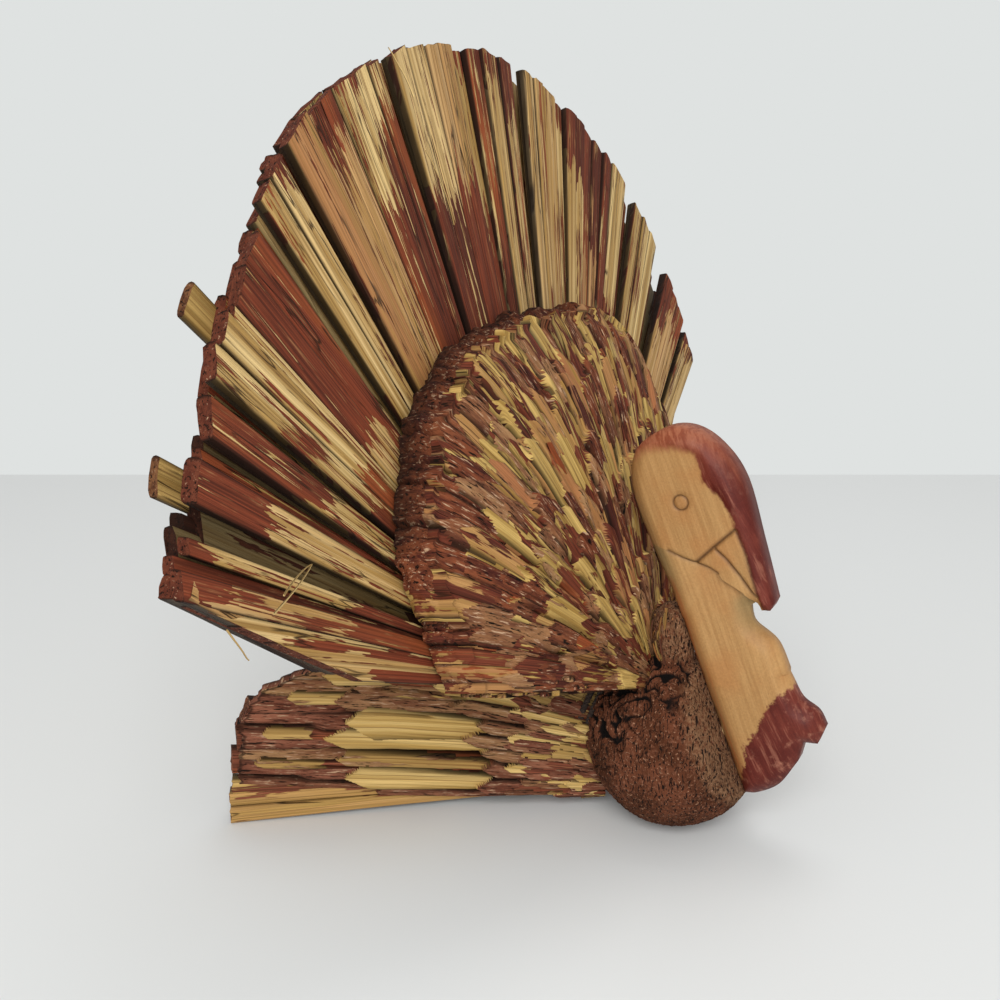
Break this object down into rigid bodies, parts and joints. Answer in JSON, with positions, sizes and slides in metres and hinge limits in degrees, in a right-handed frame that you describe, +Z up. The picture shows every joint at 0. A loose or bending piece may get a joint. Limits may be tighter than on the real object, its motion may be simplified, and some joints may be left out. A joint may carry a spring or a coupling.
{
  "type": "thanksgiving turkey figure",
  "caption": "Tabletop turkey figure of bound and splayed straw stalks, trimmed to a tail fan, rounded body and wings, with a flat carved wooden head on a round chest knob.",
  "frame": {"origin": "on the table, under the middle of the figure's overall box", "axes": "+Z up; the turkey faces -Y, so the tail fan spreads along X and its own right side is -X"},
  "size_m": [0.316, 0.1796, 0.2306],
  "materials": {
    "tail_straw": "dry flat straw with streaked brown-red paint rubbed through to tan",
    "tail_back_straw": "dry unpainted straw",
    "body_straw": "obliquely cut straw, brown-red paint with tan cut facets",
    "wing_straw": "dry straw, brown-red paint with tan patches",
    "knob_straw": "clipped straw ends, matt brown-red paint",
    "core_straw": "tightly pressed dry straw",
    "cord": "dark twisted fibre",
    "head_wood": "smooth carved wood, waxed, with red-brown stain on comb and wattle",
    "peg_wood": "bare turned wood"
  },
  "bodies": {
    "root": {"tail_stalks_01": "tail_straw", "tail_stalks_02": "tail_straw", "tail_stalks_03": "tail_straw", "tail_stalks_04": "tail_straw", "tail_stalks_05": "tail_straw", "tail_stalks_06": "tail_straw", "tail_stalks_07": "tail_straw", "tail_stalks_08": "tail_straw", "tail_stalks_09": "tail_straw", "tail_stalks_10": "tail_straw", "tail_stalks_11": "tail_straw", "tail_stalks_12": "tail_straw", "tail_stalks_13": "tail_straw", "tail_stalks_14": "tail_straw", "tail_stalks_15": "tail_straw", "tail_stalks_16": "tail_straw", "tail_stalks_17": "tail_straw", "tail_stalks_18": "tail_straw", "tail_stalks_19": "tail_straw", "tail_stalks_20": "tail_straw", "tail_stalks_21": "tail_straw", "tail_stalks_22": "tail_straw", "tail_stalks_23": "tail_straw", "tail_stalks_24": "tail_straw", "tail_stalks_25": "tail_straw", "tail_back_stalks_1": "tail_back_straw", "tail_back_stalks_2": "tail_back_straw", "tail_back_stalks_3": "tail_back_straw", "tail_back_stalks_4": "tail_back_straw", "tail_back_stalks_5": "tail_back_straw", "tail_back_stalks_6": "tail_back_straw", "tail_back_stalks_7": "tail_back_straw", "tail_back_stalks_8": "tail_back_straw", "tail_back_stalks_9": "tail_back_straw", "body_stalks_1": "body_straw", "body_stalks_2": "body_straw", "body_stalks_3": "body_straw", "body_stalks_4": "body_straw", "body_stalks_5": "body_straw", "body_stalks_6": "body_straw", "body_stalks_7": "body_straw", "body_stalks_8": "body_straw", "body_stalks_9": "body_straw", "right_wing_stalks_1": "wing_straw", "right_wing_stalks_2": "wing_straw", "right_wing_stalks_3": "wing_straw", "right_wing_stalks_4": "wing_straw", "left_wing_stalks_1": "wing_straw", "left_wing_stalks_2": "wing_straw", "left_wing_stalks_3": "wing_straw", "left_wing_stalks_4": "wing_straw", "undertail_stalks_1": "wing_straw", "undertail_stalks_2": "wing_straw", "undertail_stalks_3": "wing_straw", "bound_core": "core_straw", "binding_cord": "cord", "carved_head": "head_wood", "head_peg": "peg_wood", "chest_knob": "knob_straw"}
  },
  "joints": []
}
